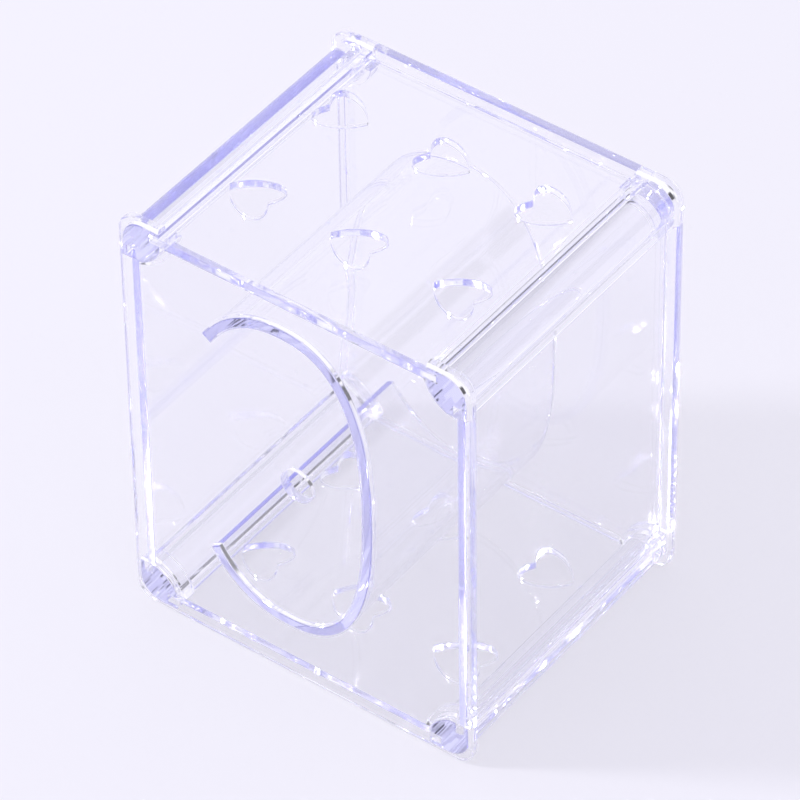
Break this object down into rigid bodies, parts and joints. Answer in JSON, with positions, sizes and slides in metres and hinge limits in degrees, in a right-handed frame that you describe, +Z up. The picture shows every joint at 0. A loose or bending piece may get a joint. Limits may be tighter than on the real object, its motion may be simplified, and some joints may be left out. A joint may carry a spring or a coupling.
{
  "type": "queen cage",
  "caption": "Small clear plastic box with heart-shaped air holes, a top panel that slides out at the front, and a curved inner gate that slides through a C-shaped slot.",
  "frame": {"origin": "centre of the footprint on the surface that the box stands on", "axes": "+Z up, +X along the width, the front plate faces -Y and the rear plate +Y"},
  "size_m": [0.049, 0.041, 0.06],
  "materials": {
    "plate_plastic": "clear, faintly violet, polished, moulded",
    "rail_plastic": "clear, faintly violet, polished, extruded",
    "panel_plastic": "clear, faintly violet, polished sheet"
  },
  "bodies": {
    "case": {"front_plate": "plate_plastic", "rear_plate": "plate_plastic", "rail_top_left": "rail_plastic", "rail_top_right": "rail_plastic", "rail_bottom_left": "rail_plastic", "rail_bottom_right": "rail_plastic", "bottom_panel": "panel_plastic", "left_panel": "panel_plastic", "right_panel": "panel_plastic"},
    "lid": {"top_panel": "panel_plastic"},
    "gate": {"curved_gate": "panel_plastic"}
  },
  "joints": [
    {"name": "lid_slide", "type": "slide", "parent": "case", "child": "lid", "axis": [0, -1, 0], "range_m": [0, 0.036]},
    {"name": "gate_slide", "type": "slide", "parent": "case", "child": "gate", "axis": [0, -1, 0], "range_m": [0, 0.03]}
  ]
}
